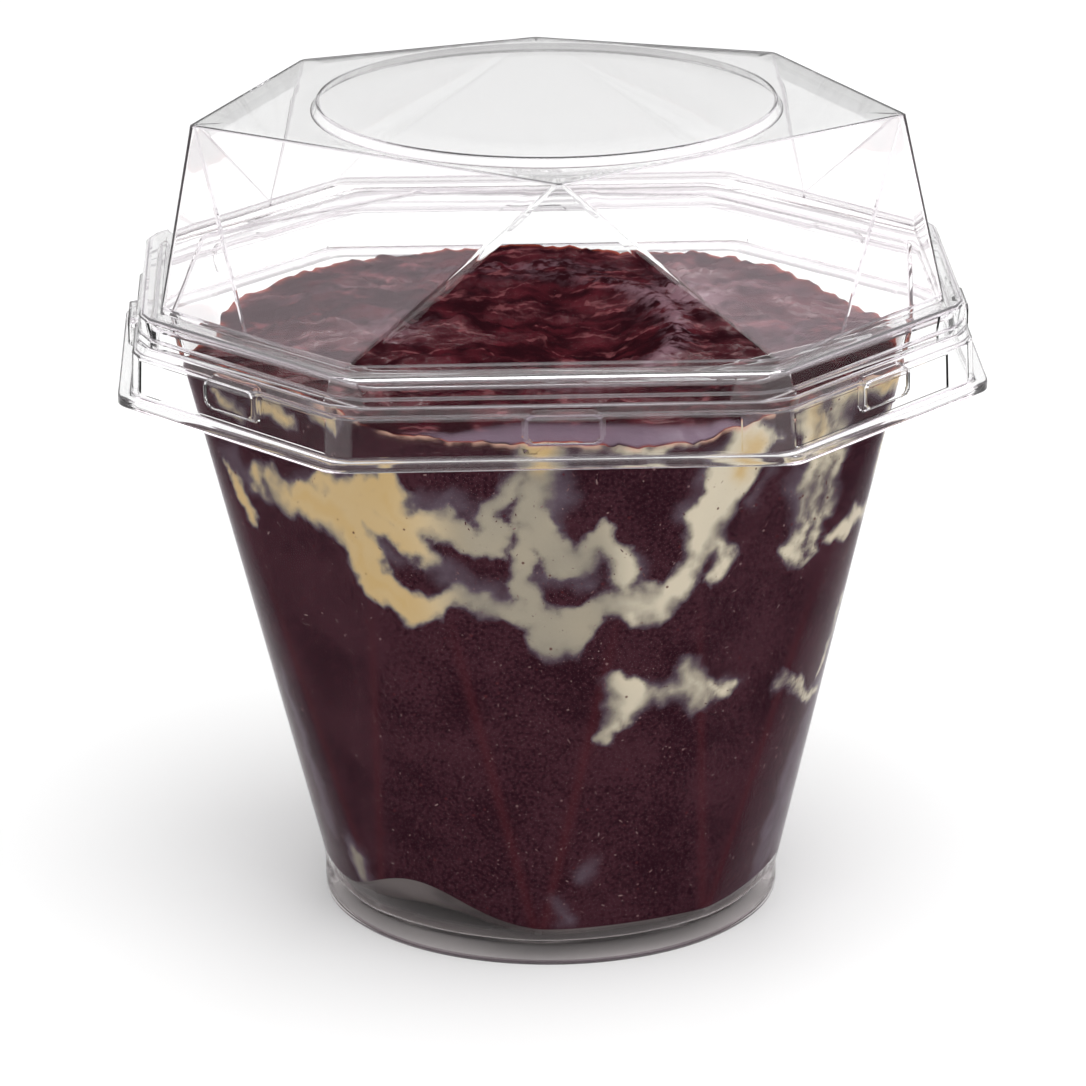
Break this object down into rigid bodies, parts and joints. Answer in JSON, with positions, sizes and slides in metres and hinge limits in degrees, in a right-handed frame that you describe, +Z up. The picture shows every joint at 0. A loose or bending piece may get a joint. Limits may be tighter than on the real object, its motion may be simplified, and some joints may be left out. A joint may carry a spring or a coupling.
{
  "type": "lidded acai dessert cup",
  "caption": "Clear faceted eight-sided plastic cup with a round base and a snapped-on faceted lid, filled with purple acai and streaks of cream.",
  "frame": {"origin": "on the table under the middle of the round base", "axes": "+Z up the cup's axis to the lid, -Y towards the front facet of the picture, +X to the right of it"},
  "size_m": [0.0972, 0.0854, 0.0949],
  "materials": {
    "cup_plastic": "thin clear moulded plastic, glossy, with faint facets",
    "lid_plastic": "thin clear thermoformed plastic, glossy, with rounded creases",
    "acai": "dark purple frozen fruit puree, wet and glossy on top, dull behind the wall",
    "cream": "pale yellow condensed milk cream, smooth, bluish where thin"
  },
  "bodies": {
    "root": {"cup": "cup_plastic", "lid": "lid_plastic", "acai": "acai", "cream_band": "cream", "cream_right": "cream", "cream_side_right": "cream", "cream_low": "cream", "cream_back": "cream", "cream_back_low": "cream"}
  },
  "joints": []
}
